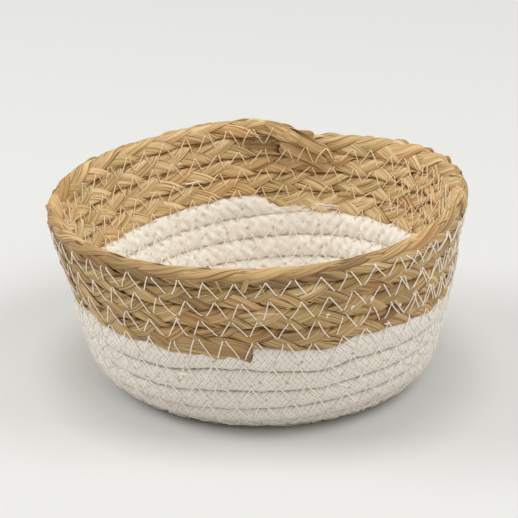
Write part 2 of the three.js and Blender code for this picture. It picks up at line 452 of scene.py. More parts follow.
def linear(*srgb):
    """A colour written in the 0 to 255 of a picture, as the light that it stands for."""
    shares = [value / 255 for value in srgb]
    return (*[s / 12.92 if s <= 0.04045 else ((s + 0.055) / 1.055) ** 2.4 for s in shares], 1.0)


WHITE = linear(255, 255, 255)


class Nodes:
    """The nodes of a material or group, with short ways to add and join them. Values are sockets or fixed."""

    def __init__(self, tree):
        self.nodes = tree.nodes
        self.links = tree.links

    def feed(self, node, given):
        """Joins or sets inputs of a node, by name or number, and returns its outputs."""
        for socket, value in given.items():
            if isinstance(value, bpy.types.NodeSocket):
                self.links.new(value, node.inputs[socket])
            else:
                node.inputs[socket].default_value = value
        return node.outputs

    def calc(self, operation, *values):
        node = self.nodes.new("ShaderNodeMath")
        node.operation = operation
        return self.feed(node, dict(enumerate(values)))[0]

    def mix(self, share, first, second, blend="MIX"):
        node = self.nodes.new("ShaderNodeMix")
        node.data_type = "RGBA"
        node.blend_type = blend
        return self.feed(node, {0: share, 6: first, 7: second})[2]

    def ramp(self, value, stops):
        node = self.nodes.new("ShaderNodeValToRGB")
        band = node.color_ramp
        while len(band.elements) < len(stops):
            band.elements.new(0.5)
        for element, (position, colour) in zip(band.elements, stops):
            element.position = position
            element.color = colour
        return self.feed(node, {"Fac": value})["Color"]

    def field(self, name):
        node = self.nodes.new("ShaderNodeAttribute")
        node.attribute_name = name
        return node.outputs["Fac"]

    def noise(self, spot, scale, detail):
        node = self.nodes.new("ShaderNodeTexNoise")
        return self.feed(node, {"Vector": spot, "Scale": scale, "Detail": detail})["Fac"]

    def spread(self, value, low, high):
        node = self.nodes.new("ShaderNodeMapRange")
        return self.feed(node, {"Value": value, "From Min": low, "From Max": high})["Result"]

    def raised(self, height, distance, strength):
        node = self.nodes.new("ShaderNodeBump")
        return self.feed(node, {"Height": height, "Distance": distance, "Strength": strength})["Normal"]

    def group(self, group, given):
        node = self.nodes.new("ShaderNodeGroup")
        node.node_tree = group
        return self.feed(node, given)

    def streaks(self, along, across):
        return self.group(FIBRES, {"Along": along, "Across": across})["Streak"]

    def dress(self, looks):
        self.feed(self.nodes["Principled BSDF"], looks)


def new_material(name):
    material = bpy.data.materials.new(name)
    material.use_nodes = True
    return material, Nodes(material.node_tree)


def new_group(name, given, results):
    """A node group with these number inputs and outputs, its nodes, what it is given and its end."""
    group = bpy.data.node_groups.new(name, "ShaderNodeTree")
    for way, sockets in (("INPUT", given), ("OUTPUT", results)):
        for socket in sockets:
            group.interface.new_socket(socket, in_out=way, socket_type="NodeSocketFloat")
    return group, Nodes(group), group.nodes.new("NodeGroupInput").outputs, group.nodes.new("NodeGroupOutput")


def fibre_group():
    """Fine streaks that run along a piece: a value round one half, from its own coordinates."""
    group, tree, given, result = new_group("Fibre streaks", ("Along", "Across"), ("Streak",))
    scale = group.nodes.new("ShaderNodeCombineXYZ")
    stretch = tree.feed(scale, {"X": given["Along"], "Y": given["Across"]})["Vector"]
    own = group.nodes.new("ShaderNodeUVMap").outputs["UV"]
    scaled = group.nodes.new("ShaderNodeVectorMath")
    scaled.operation = "MULTIPLY"
    spot = tree.feed(scaled, {0: own, 1: stretch})["Vector"]
    tree.feed(result, {"Streak": tree.noise(spot, 1, 3)})
    return group


def braid_group():
    """Relief of braided yarns that pass over two and under two, from 0 to 1 on top, and of their plies."""
    group, tree, given, result = new_group("Braided yarn", ("Along", "Around"), ("Relief", "Plies"))
    do = tree.calc
    one = do("ADD", given["Along"], given["Around"])
    other = do("SUBTRACT", given["Along"], given["Around"])
    tops = []
    plies = []
    for own, cross, offset, sign in ((one, other, 0, 1), (other, one, 1, -1)):
        yarn = do("FLOOR", own)
        beside = do("SUBTRACT", do("SUBTRACT", own, yarn), 0.5)
        crown = do("POWER", do("COSINE", do("MULTIPLY", beside, math.pi)), CROWN_POWER)
        ahead = do("ADD", do("SUBTRACT", yarn, cross), offset)
        over = do("MULTIPLY", do("COSINE", do("MULTIPLY", ahead, TURN / 4)), sign)
        tops.append(do("ADD", do("MULTIPLY", crown, CROWN_SHARE), do("MULTIPLY", over, 1 - CROWN_SHARE)))
        plies.append(do("ABSOLUTE", do("SINE", do("MULTIPLY", own, math.pi * YARN_PLIES))))
    relief = do("MAXIMUM", do("MAXIMUM", *tops), 0)
    first_on_top = do("GREATER_THAN", *tops)
    chosen = do("MULTIPLY", first_on_top, do("SUBTRACT", *plies))
    tree.feed(result, {"Relief": relief, "Plies": do("ADD", chosen, plies[1])})
    return group


FIBRES = fibre_group()
BRAID = braid_group()


def reed_material():
    """Dry reed leaf: every leaf has its own tan, with fine fibres along it and shade in the folds."""
    material, tree = new_material("reed leaf")
    tint = tree.ramp(tree.field("leaf_tint"), [
        (0.0, linear(160, 130, 91)),
        (0.3, linear(199, 168, 118)),
        (0.6, linear(221, 192, 141)),
        (0.85, linear(234, 208, 159)),
        (1.0, linear(246, 228, 189))])
    blush = tree.ramp(tree.field("leaf_blush"), [
        (0.0, linear(238, 240, 229)),
        (0.3, WHITE),
        (0.65, WHITE),
        (1.0, linear(251, 238, 228))])
    fine = tree.streaks(30, 1500)
    broad = tree.streaks(20, 500)
    fibre = tree.ramp(fine, [(0.34, linear(150, 121, 90)), (0.46, linear(236, 229, 219)), (0.58, WHITE)])
    bands = tree.ramp(broad, [(0.36, linear(206, 188, 164)), (0.58, WHITE)])
    colour = tree.mix(1.0, tint, blush, "MULTIPLY")
    colour = tree.mix(0.95, colour, fibre, "MULTIPLY")
    colour = tree.mix(0.8, colour, bands, "MULTIPLY")
    # Painted shade: creases between blades, the leaves' margins and the plait's middle turn dark brown
    colour = tree.mix(tree.spread(tree.field("painted_shade"), 0.7, 1.0), colour, linear(92, 62, 34))
    tree.dress({
        "Base Color": colour,
        "Roughness": 0.58,
        "Specular IOR Level": 0.35,
        "Normal": tree.raised(fine, 0.0004, 0.7)})
    return material


def cotton_material():
    """Undyed cotton: warm white yarn, with greyer painted shade between yarns and turns and in needle holes,
    and seed specks.
    """
    material, tree = new_material("cotton yarn")
    spot = tree.nodes.new("ShaderNodeTexCoord").outputs["Object"]
    cloud = tree.noise(spot, 140, 4)
    base = tree.ramp(cloud, [(0.35, linear(238, 232, 221)), (0.65, linear(250, 245, 237))])
    woven = tree.group(BRAID, {"Along": tree.field("yarn_along"), "Around": tree.field("yarn_around")})
    # Painted shade between the yarns and between their plies, weaker on the worn inner face
    crisp = tree.spread(tree.field("worn"), 1.35, 0.0)
    yarn_gap_shade = tree.calc("MULTIPLY", crisp, tree.spread(woven["Relief"], 0.62, 0.2))
    colour = tree.mix(yarn_gap_shade, base, linear(198, 188, 172))
    ply_gap_shade = tree.calc("MULTIPLY", crisp, tree.spread(woven["Plies"], 0.6, 0.08))
    ply_gap_shade = tree.calc("MULTIPLY", ply_gap_shade, tree.spread(cloud, 0.34, 0.6))
    colour = tree.mix(ply_gap_shade, colour, linear(203, 193, 177))
    # Painted shade along the seams between turns
    seam = tree.calc("MULTIPLY", tree.field("seam"), 0.55)
    colour = tree.mix(seam, colour, linear(140, 127, 108))
    specks = tree.spread(tree.noise(spot, 620, 2), 0.735, 0.8)
    colour = tree.mix(specks, colour, linear(150, 122, 94))
    # Painted shade in the needle holes
    colour = tree.mix(tree.field("painted_hole_shade"), colour, linear(110, 91, 66))
    twist = tree.calc("MULTIPLY", woven["Plies"], 0.6)
    fuzz = tree.calc("MULTIPLY", tree.noise(spot, 2600, 3), 0.5)
    height = tree.calc("ADD", woven["Relief"], tree.calc("ADD", twist, fuzz))
    tree.dress({
        "Base Color": colour,
        "Roughness": 0.95,
        "Specular IOR Level": 0.15,
        "Sheen Weight": 0.25,
        "Normal": tree.raised(height, 0.0005, 0.42)})
    return material


def thread_material(name, darker, lighter):
    """Sewing thread with the slant of its twisted plies."""
    material, tree = new_material(name)
    ply = tree.streaks(900, 900)
    tree.dress({
        "Base Color": tree.ramp(ply, [(0.3, darker), (0.65, lighter)]),
        "Roughness": 0.45,
        "Specular IOR Level": 0.7,
        "Normal": tree.raised(ply, 0.0002, 0.4)})
    return material


REED = reed_material()
COTTON = cotton_material()
NEEDLE_THREAD = thread_material("needle thread", linear(248, 238, 223), linear(255, 250, 241))
# The bobbin thread is darker and warmer: partly its own colour, partly painted shade inside the basket
BOBBIN_THREAD_WITH_PAINTED_SHADE = thread_material("bobbin thread with painted shade", linear(234, 207, 170), linear(250, 228, 194))


# Needle holes, in two rows along every seam

def turn_reach(angle):
    """Middle of the turn at an angle: rope up to the joint, plait from there."""
    return np.where(angle < 0, rope_reach(angle), plait_reach(angle))


def seam_reach(angle):
    """Seam between the turn at an angle and the one below it."""
    return (turn_reach(angle) + turn_reach(angle - TURN)) / 2


def needle_holes(first, last, stitch, seed, shift=0.0):
    """Angle and reach of each hole of one zigzag, by turns in the turn below the seam and the one above."""
    dice = np.random.default_rng(seed)
    fine = np.linspace(first, last, 4000)
    passed = lengths(bend_up(seam_reach(fine), fine, 0 * fine))
    count = int(passed[-1] / stitch) * 2
    pairs = np.arange(count) // 2
    uphill = np.arange(count) % 2
    spacing = passed[-1] / (count / 2)
    at = (pairs + shift + UPHILL_SHARE * uphill) * spacing + dice.normal(0, STITCH_SCATTER * spacing, count)
    angle = np.interp(at, passed, fine)
    edge = np.where(uphill, turn_reach(angle) - STITCH_INSET, turn_reach(angle - TURN) + STITCH_INSET)
    return angle, edge + dice.normal(0, EDGE_SCATTER, count)


COTTON_HOLES = needle_holes(*COTTON_SEAM, STITCH_LENGTH, 21)
REED_HOLES = needle_holes(*REED_SEAM, STITCH_LENGTH, 22)
RESEWN_HOLES = [
    needle_holes(*(turn * TURN + RESEWN), STITCH_LENGTH * length, 23 + turn, RESEWN_SHIFT)
    for turn, length in enumerate(RESEWN_LENGTHS, 1)]


# Cotton rope

def braid(u, v):
    """Relief of two sets of yarns that pass over two and under two, from 0 between yarns to 1 on top."""
    tops = []
    for own, cross, offset, sign in ((u + v, u - v, 0, 1), (u - v, u + v, 1, -1)):
        yarn = np.floor(own)
        crown = np.cos(math.pi * (own - yarn - 0.5)) ** CROWN_POWER
        over = sign * np.cos(TURN * (yarn - cross + offset) / 4)
        tops.append(CROWN_SHARE * crown + (1 - CROWN_SHARE) * over)
    return np.clip(np.maximum(*tops), 0, 1)


def lumps(along, around, seed, waves=9):
    """Seeded lumps of about one either way over the rope's surface, some millimetres across."""
    dice = np.random.default_rng(seed)
    total = 0
    for _ in range(waves):
        length = dice.uniform(*LUMP_LENGTHS)
        way = dice.uniform(0, math.pi)
        phase = dice.uniform(0, TURN)
        total = total + np.sin(TURN * (along * math.cos(way) + around * math.sin(way)) / length + phase)
    return total / math.sqrt(waves)


def rope_line():
    """Even length, angle, reach, height and thickness along the rope, from its eye to its end."""
    start = -(ROPE_END_REACH + ROPE_PITCH / 2 - EYE_START) / ROPE_PITCH * TURN
    fine = np.linspace(start, ROPE_TAIL, ROPE_SAMPLES)
    ends = np.stack([ease(fine, *ROPE_THINNING), ease(fine, *ROPE_TIP_THINNING)])
    growth = LAST_TURN_GROWTH * ease(fine, -TURN, LAST_TURN_EASING - TURN)
    height = ROPE_PITCH + ROPE_OVERLAP + growth - np.dot(END_HEIGHT_LOSS, ends)
    reach = rope_reach(fine) + growth / 2 - np.dot(END_DROP, ends)
    top = reach + height / 2
    foot = np.maximum(reach - height / 2, EYE_HOLE)
    height = top - foot
    reach = (top + foot) / 2
    begun = np.minimum(top / ROPE_PITCH, 1) ** EYE_ROUNDING
    thick = ROPE_THICKNESS * (1 - np.dot(END_THICKNESS_LOSS, ends)) * begun
    points = bend_up(np.maximum(reach, ROPE_PITCH / 2), fine, 0 * fine)
    return evenly(points, ROPE_STEP, fine, reach, height, thick)


def rope_grid():
    """Rings of the braided rope: length, angle, points, reach, distance out and looks."""
    along, angle, reach, height, thick = rope_line()
    reach = (reach + ripple(along, *ROPE_WANDER, 31))[:, None]
    side = np.arange(ROPE_SIDES) / ROPE_SIDES
    up_shape, out_shape, up_way, out_way = outline(ROPE_SIDES, ROPE_PITCH, ROPE_THICKNESS, ROPE_SQUARE)
    u = (along / YARN_PITCH + ripple(along, *YARN_CREEP, 32))[:, None]
    v = side[None, :] * YARNS + ripple(along, *YARN_TWIST, 33)[:, None]
    swell = 1 + ripple(along, *ROPE_SWELL, 34)[:, None]
    inside = ease(out_shape, INNER_FACE, -INNER_FACE)
    lump_depth = LUMP_DEPTH + (INNER_LUMP_DEPTH - LUMP_DEPTH) * inside
    lumpy = lumps(along[:, None], side[None, :] * ROPE_GIRTH, 36)
    lift = YARN_RELIEF * (braid(u, v) - YARN_MIDDLE) + lump_depth * lumpy
    up = (height[:, None] / 2 * swell) * up_shape + lift * up_way
    out = (thick[:, None] / 2 * swell) * out_shape + lift * out_way
    points = place(reach + up, angle[:, None] + 0 * up, out)
    worn = ease(out, WORN_FACE, -WORN_FACE)
    # Painted shade along the seams, lighter on the worn inner face
    seam = ease(np.abs(up_shape), *SEAM_SHADE) * (1 - INNER_SEAM_LIGHTNESS * worn)
    looks = {"yarn_along": u + 0 * v, "yarn_around": v + 0 * u, "worn": worn, "seam": seam}
    return along, angle, points, reach + up, out, looks


def press_holes(angle, reach, out, holes, seed):
    """How far each needle hole pulls the rope in on both faces, and how much painted shade darkens it there.
    """
    dice = np.random.default_rng(seed)
    dark = np.zeros_like(reach)
    pull = np.zeros_like(reach)
    for hole_angle, hole_reach in zip(*holes):
        below = hole_reach < seam_reach(hole_angle)
        on_angle = hole_angle - TURN if below else hole_angle
        if on_angle > angle[-1]:
            continue
        spot = bend_up(hole_reach, hole_angle, 0)
        ring = int(np.searchsorted(angle, on_angle))
        near = slice(max(ring - PULL_RINGS, 0), ring + PULL_RINGS + 1)
        ahead = (angle[near] - on_angle)[:, None] * math.hypot(spot[0], spot[1])
        for face, least, most, width in FACE_HOLES:
            gap = np.hypot(ahead, reach[near] - hole_reach)
            gap = np.where(out[near] * face > 0, gap, np.inf)
            amount = max(dice.uniform(least, most), 0)
            dark[near] = np.maximum(dark[near], amount * np.exp(-((gap / width) ** 2)))
            pull[near] += amount * PULL_DEPTH * np.exp(-((gap / PULL_WIDTH) ** 2))
    return pull + HOLE_DEPTH * dark, dark


def cotton_rope():
    """The rope in several pieces, end to end."""
    along, angle, points, reach, out, looks = rope_grid()
    lower = REED_HOLES[0] < TURN
    every_hole = [np.concatenate([cotton, reed[lower]]) for cotton, reed in zip(COTTON_HOLES, REED_HOLES)]
    pull, looks["painted_hole_shade"] = press_holes(angle, reach, out, every_hole, 35)
    inward = points.mean(1, keepdims=True) - points
    inward /= np.linalg.norm(inward, axis=2, keepdims=True)
    points = points + inward * pull[..., None]
    points[..., 2] = np.maximum(points[..., 2], THREAD_UNDER_ROPE)
    cuts = np.linspace(0, len(along) - 1, ROPE_PIECES + 1).astype(int)
    pieces = []
    for number, (first, last) in enumerate(zip(cuts[:-1], cuts[1:]), 1):
        rows = slice(first, last + 1)
        own_looks = {look: values[rows] for look, values in looks.items()}
        pieces.append(add_tubes(
            f"cotton_rope_{number}", points[None, rows], along[rows], ROPE_GIRTH, COTTON,
            ["cotton_rope"], own_looks))
    return pieces


# Reed plait

def plait_line():
    """Even length, angle, reach, out and size along the plait, from its start to its end inside the rim."""
    tuck_end = RIM_ANGLE + TUCK_TURN
    fine = np.linspace(PLAIT_START, tuck_end + TAIL_TURN, PLAIT_SAMPLES)
    done = np.clip((fine - RIM_ANGLE) / TUCK_TURN, 0, 1)
    swing = np.radians(np.interp(np.degrees(fine - RIM_ANGLE), *zip(*TUCK_SWINGS)))
    size = 1 + (TUCK_TAPER - 1) * done
    apart = PLAIT_HEIGHT / 2 * (1 + size) + TURN_GAP + TUCK_CLEARANCE * done
    tail = ease(fine, tuck_end, tuck_end + TAIL_TURN)
    start = ease(fine, PLAIT_START + PLAIT_START_TURN, PLAIT_START)
    reach = plait_reach(fine - TURN) + apart * np.cos(swing) - TAIL_DROP * tail + PLAIT_START_RISE * start
    out = TAIL_OUT * tail - apart * np.sin(swing)
    size = (size - TAIL_THINNING * tail) * (1 - PLAIT_START_THINNING * start)
    return evenly(bend_up(reach, fine, out), PLAIT_STEP, fine, reach, out, size)


def blades(dice, count, along):
    """Lift of the surface round bundles of leaf blades and their looks, by bundle and length along it."""
    side = np.arange(LEAF_SIDES) / LEAF_SIDES
    far = along[None, :, None]

    def each(low, high):
        return dice.uniform(low, high, (count, 1, 1))

    def wave(shortest, longest):
        return np.sin(TURN * far / each(shortest, longest) + each(0, TURN))

    wander = each(*BLADE_WANDERS) * wave(*WANDER_LENGTHS) + each(-BLADE_DRIFT, BLADE_DRIFT) * far
    blade_line = BLADES * side + each(0, BLADES) + wander
    blade_line = blade_line + BLADE_SWAY * np.sin(2 * TURN * side + each(0, TURN))
    blade = np.floor(blade_line)
    part = blade_line - blade
    crest = ease(part, 0, BLADE_EDGES[0]) * ease(part, 1, BLADE_EDGES[1])
    deep = np.clip(FOLD_DEPTH + FOLD_DEPTH * wave(*FOLD_LENGTHS), *FOLD_DEPTHS)
    scatter = np.sin((blade % BLADES) * SCATTER_STEP + each(0, 90)) * SCATTER_SIZE
    tint = np.clip(dice.normal(*LEAF_TINT, (count, 1, 1)), *LEAF_TINTS)
    tint = tint + BLADE_VARIETY * (scatter - np.floor(scatter) - 0.5) + TINT_WAVE * wave(*TINT_LENGTHS)
    blush = each(0, 1) + BLUSH_VARIETY * np.sin(blade * BLUSH_STEP + each(0, TURN))
    # The last look is painted shade in the creases between blades
    looks = {"leaf_tint": np.clip(tint, 0, 1), "leaf_blush": np.clip(blush, 0, 1), "painted_shade": deep * (1 - crest)}
    return BLADE_FOLD * deep * (crest - CREST_LEVEL), looks


def crossing(share, far):
    """How far a leaf is over the plait's edge at shares of its way from middle to middle, and its slope."""
    eased = np.tanh(FOLD_SHARPNESS * share)
    full = math.tanh(FOLD_SHARPNESS)
    way = far * ((1 - FOLD_SHARE) * share + FOLD_SHARE * eased / full)
    slope = far * (1 - FOLD_SHARE + FOLD_SHARE * FOLD_SHARPNESS * (1 - eased ** 2) / full)
    return way, slope


def rim_share(angle):
    return ease(angle, RIM_ANGLE - TURN, RIM_ANGLE - TURN + RIM_EASING)


def flattening(angle):
    """Share that is left of the height of the plait's upper half, less than one along the rim."""
    return 1 - by_bearing(angle, RIM_DROPS) / (PLAIT_PITCH / 2) * rim_share(angle)


def folded_leaves():
    """Every leaf of the plait: it comes from under the others on the inner face, folds over an edge and goes
    under the others on the outer face. Later leaves lie on top outside, earlier ones inside."""
    along, angle, reach, out, size = plait_line()
    size = size * tip_taper(along, *PLAIT_TAPERS)
    dice = np.random.default_rng(40)
    step = TURN / LEAVES_PER_TURN
    number = np.arange(2, int((angle[-1] - angle[0]) / step) - 1)
    count = len(number)
    middle_angle = angle[0] + (number + dice.normal(0, LEAF_SCATTER, count)) * step
    middle = np.interp(middle_angle, angle, along)[:, None, None]
    room = np.interp(middle_angle + step / 2, angle, along) - np.interp(middle_angle - step / 2, angle, along)
    edge = np.where(number % 2, 1, -1)[:, None, None]
    rim_start = np.interp(RIM_ANGLE - TURN, angle, along)
    on_rim = ease(middle, rim_start, rim_start + RIM_LEAF_EASING)
    longer = by_bearing(middle_angle, RIM_LEAVES, 1)[:, None, None] - 1
    stretch = 1 + longer * on_rim * np.where(edge > 0, 1, 0.5)
    # Darkening on the rim: partly the leaves' own tone, partly painted shade at the front
    darker = by_bearing(middle_angle, RIM_LEAVES, 2)[:, None, None] * on_rim
    frontal = ease(np.cos(middle_angle), 0.5, -0.5)[:, None, None]
    darker = darker + RIM_VARIETY * frontal * on_rim * dice.normal(0, 1, (count, 1, 1))
    quarter = (LEAF_CROSSING * room * dice.uniform(*LEAF_CROSSINGS, count))[:, None, None] * stretch
    rounding = np.where(edge > 0, PLAIT_ROUNDING + (RIM_ROUNDING - PLAIT_ROUNDING) * on_rim, PLAIT_ROUNDING)
    half_height = PLAIT_PITCH / 2 - LEAF_THICKNESS / 2
    half_deep = PLAIT_THICKNESS / 2 - LEAF_THICKNESS / 2 - LEAF_BULGE / 2
    top = half_deep - rounding
    far = top + math.pi / 2 * rounding + half_height - rounding

    passed = np.arange(-LEAF_HALF_LENGTH, LEAF_HALF_LENGTH + LEAF_STEP / 2, LEAF_STEP)
    ahead = passed[None, :, None] * stretch
    way, slope = crossing(ahead / quarter, far)
    lean = np.arctan(slope / quarter)
    lift, looks = blades(dice, count, passed)
    ends = tip_taper(passed - passed[0], LEAF_TAPER, LEAF_TAPER)[None, :, None]
    width = LEAF_WIDTH * dice.uniform(*LEAF_WIDTHS, (count, 1, 1)) * ends
    thick = LEAF_THICKNESS * dice.uniform(*LEAF_THICKNESSES, (count, 1, 1)) * ends
    wide, deep, wide_way, deep_way = outline(LEAF_SIDES, LEAF_WIDTH, LEAF_THICKNESS, LEAF_SQUARE)
    across = width / 2 * wide + lift * wide_way
    through = thick / 2 * deep + lift * deep_way
    spot = middle + ahead - across * np.sin(lean)
    over = way + across * np.cos(lean)
    raised_by = LEAF_BULGE * (0.5 - wide ** 2) - LEAF_TILT / stretch * np.abs(spot - middle) - edge * through
    raised_by = raised_by + dice.normal(0, LEAF_LIFT_SCATTER, (count, 1, 1))
    past = np.abs(over) - top
    bend = np.clip(past / rounding, 0, math.pi / 2)
    down = np.maximum(past - math.pi / 2 * rounding, 0)
    own_reach = edge * (half_height - rounding + (rounding + raised_by) * np.cos(bend) - down)
    own_out = np.sign(over) * (np.minimum(np.abs(over), top) + (rounding + raised_by) * np.sin(bend))
    scale = np.interp(spot, along, size)
    spot_angle = np.interp(spot, along, angle)
    upper = np.clip(own_reach / half_height, 0, 1)
    own_out = own_out * (1 - RIM_NARROWING * upper * rim_share(spot_angle))
    own_reach = own_reach * np.where(own_reach > 0, flattening(spot_angle), 1)
    points = place(
        np.interp(spot, along, reach) + scale * own_reach,
        spot_angle,
        np.interp(spot, along, out) + scale * own_out)
    # Painted light: the inner faces are painted paler, less so on the rim
    painted_inner_light = INNER_PAINTED_LIGHT * (1 - 0.5 * on_rim) * ease(own_out / half_deep, 0.4, -0.6)
    looks["leaf_tint"] = np.clip(looks["leaf_tint"] - darker + painted_inner_light, 0, PALEST_LEAF)
    # Painted shade along each leaf's margins, in the cracks beside the next leaves
    looks["painted_shade"] = np.maximum(looks["painted_shade"], MARGIN_SHADE * ease(np.abs(wide), *LEAF_MARGIN))
    return number, passed, points, looks


def add_leaves(name, passed, points, looks, seed, nodes):
    """Leaf bundles in one piece, each with its own run of fibres."""
    shift = np.random.default_rng(seed).uniform(0, 1, (len(points), 1, 2))
    return add_tubes(name, points, passed - passed[0], LEAF_GIRTH, REED, nodes, looks, shift)


def reed_plait():
    """Three strands of leaves, each in a lower and an upper piece."""
    number, passed, points, looks = folded_leaves()
    half = number[len(number) // 2]
    pieces = []
    for strand in range(STRANDS):
        own = number % STRANDS == strand
        for part, rows in (("lower", own & (number < half)), ("upper", own & (number >= half))):
            own_looks = {look: values[rows] for look, values in looks.items()}
            name = f"reed_strand_{strand + 1}_{part}"
            pieces.append(add_leaves(name, passed, points[rows], own_looks, 50 + strand, ["reed_plait"]))
    return pieces


def reed_core():
    """Leaves in the middle of the plait, seen only in the gaps between its strands; their dark colour is
    painted shade.
    """
    line = plait_line()
    kept = line[1] < RIM_ANGLE + CORE_PAST_RIM
    along, angle, reach, out, size = (values[kept] for values in line)
    up_shape, out_shape, _, _ = outline(CORE_SIDES, CORE_HEIGHT, CORE_THICKNESS, CORE_SQUARE)
    hidden = 1 - CORE_THINNING * ease(angle - RIM_ANGLE, *CORE_THINNING_TURN)
    scale = (size * hidden * tip_taper(along, *CORE_TAPERS))[:, None]
    lowered = (flattening(angle) * (1 - RIM_NARROWING * rim_share(angle)))[:, None]
    points = place(
        reach[:, None] + CORE_HEIGHT / 2 * scale * up_shape * np.where(up_shape > 0, lowered, 1),
        angle[:, None] + 0 * scale * up_shape,
        out[:, None] + CORE_THICKNESS / 2 * scale * out_shape)
    shape = points.shape[:2]
    bare = ease(along, *CORE_BARE)[:, None]
    # Painted shade: dark brown, darker towards the outer face, lighter at the bare start where the core shows
    fields = {
        "leaf_tint": np.broadcast_to(0.3 + 0.2 * bare, shape),
        "leaf_blush": np.full(shape, 0.5),
        "painted_shade": (0.8 + 0.1 * out_shape) * (1 - 0.9 * bare)}
    return add_tubes("reed_core", points[None], along, CORE_GIRTH, REED, ["reed_plait"], fields)


# Laid leaves: bearing, reach and distance out of both ends, widths, thickness, tapers, tint, any shade
SPLICED_LEAVES = (
    ((186.0, 113.8, 4.7), (204.0, 120.6, 4.0), (5.6, 5.0), 1.1, (0.8, 12), 0.32, 1.0),
    ((186.2, 118.2, 4.9), (198.0, 122.4, 4.3), (4.2, 3.6), 1.0, (1.2, 10), 0.42, 0.9),
    ((192.4, 113.6, 4.3), (210.0, 120.0, 3.8), (5.0, 5.0), 1.1, (7, 12), 0.44),
    ((199.0, 114.8, 4.0), (216.0, 120.4, 3.6), (4.6, 4.6), 1.0, (7, 12), 0.36))
TAIL_LEAVES = (
    ((5.0, 153.4, -8.8), (19.5, 140.4, -6.6), (4.6, 4.0), 1.5, (6, 5), 0.6),
    ((3.4, 151.0, -9.4), (22.0, 135.4, -5.9), (5.2, 4.2), 1.5, (6, 4), 0.5),
    ((3.0, 148.6, -8.8), (17.5, 136.6, -6.0), (4.2, 3.4), 1.4, (6, 5), 0.42),
    ((355.0, 156.2, -1.6), (14.0, 154.8, -3.4), (4.4, 4.0), 1.2, (4, 4), 0.4),
    ((358.5, 161.8, -8.4), (10.5, 152.6, -12.4), (5.6, 5.4), 1.5, (8, 5), 0.5),
    ((4.5, 156.6, -11.8), (19.0, 146.0, -9.6), (5.0, 4.4), 1.5, (6, 6), 0.42),
    # The last leaf is dark from its start: painted shade for the hollow under the rim beside the tuck
    ((5.0, 147.2, -5.0), (352.0, 150.8, -4.4), (4.2, 2.8), 0.9, (1.0, 8), 0.2, 4.0))
SCRAPS = (
    ((186.3, 156.4, 4.7), (187.6, 149.4, 4.9), (2.0, 3.4), 0.6, (0.8, 3), 0.62),
    ((183.2, 153.2, 5.0), (181.6, 146.6, 4.9), (0.9, 0.5), 0.5, (0.5, 2), 0.7),
    ((194.2, 155.9, 4.9), (192.8, 149.5, 4.9), (0.9, 0.5), 0.5, (0.5, 2), 0.7),
    ((189.6, 135.8, 4.9), (187.0, 130.8, 4.8), (0.8, 0.5), 0.5, (0.5, 2), 0.5),
    ((269.6, 160.6, 3.4), (267.0, 158.4, 2.6), (1.8, 2.2), 1.3, (0.8, 2), 0.3, 0.6),
    ((259.6, 159.2, 3.6), (257.0, 156.8, 2.6), (1.6, 2.0), 1.2, (0.8, 2), 0.3, 0.6),
    ((112.4, 154.6, 4.6), (106.0, 158.6, 3.0), (2.6, 3.6), 0.9, (0.8, 3), 0.3, 1.0),
    ((23.5, 121.5, -4.9), (29.0, 123.5, -4.4), (1.6, 2.2), 0.6, (0.6, 2), 0.5))
LAID_RINGS = 48
LAID_LENGTH = 20
LAID_TILT = 0.2
LAID_WAVER = 0.06
LAID_SHADE_LENGTH = 3


def laid_leaf(dice, start, end, width, thick, taper, tint, shade=0):
    """Rings of a leaf laid on a face between two spots, and its looks."""
    share = np.linspace(0, 1, LAID_RINGS)[:, None]
    turn = (end[0] - start[0] + 180) % 360 - 180
    angle = np.radians(start[0] + turn * share)
    reach = start[1] + (end[1] - start[1]) * share
    out = start[2] + (end[2] - start[2]) * ease(share, 0, 1)
    line = bend_up(reach, angle, out)[:, 0]
    passed = lengths(line)
    radius = np.hypot(line[:, 0], line[:, 1])[:, None]
    lean = math.atan2(end[1] - start[1], math.radians(turn) * radius.mean())
    lift, looks = blades(dice, 1, passed)
    ends = tip_taper(passed, *taper)[:, None]
    wide, deep, wide_way, deep_way = outline(LEAF_SIDES, width[0], thick, LEAF_SQUARE)
    waver = 1 + LAID_WAVER * np.sin(9 * share + dice.uniform(0, TURN))
    breadth = (width[0] + (width[1] - width[0]) * share) * waver
    folds = lift[0] * np.minimum(breadth / LEAF_WIDTH * 2, 1)
    across = breadth * ends / 2 * wide + folds * wide_way
    through = thick * ends / 2 * deep + folds * deep_way
    up = across * math.cos(lean)
    sunk = math.copysign(LAID_TILT, start[2]) * up
    points = place(reach + up, angle - across * math.sin(lean) / radius, out + through - sunk)
    # The shade darkens a leaf's start: painted shade where a leaf stands for a hollow, elsewhere a darker end
    dark = shade * np.exp(-passed / LAID_SHADE_LENGTH)[None, :, None]
    own_tint = looks["leaf_tint"] - looks["leaf_tint"].mean() + tint
    looks["leaf_tint"] = np.clip(own_tint, 0, 1) * (1 - 0.8 * dark)
    looks["leaf_blush"] = np.full_like(own_tint, 0.5)
    looks["painted_shade"] = np.clip(looks["painted_shade"] + dark, 0, 1)
    return points[None], looks


def laid_leaves(name, leaves, seed):
    """A piece of leaves that lie loose on the faces."""
    dice = np.random.default_rng(seed)
    made = [laid_leaf(dice, *leaf) for leaf in leaves]
    points = np.concatenate([own for own, _ in made])
    looks = {look: np.concatenate([own[look] for _, own in made]) for look in made[0][1]}
    return add_leaves(name, np.linspace(0, LAID_LENGTH, LAID_RINGS), points, looks, seed, [])


# Zigzag stitches

def surfaces(pieces):
    graph = bpy.context.evaluated_depsgraph_get()
    return [BVHTree.FromObject(piece, graph) for piece in pieces]


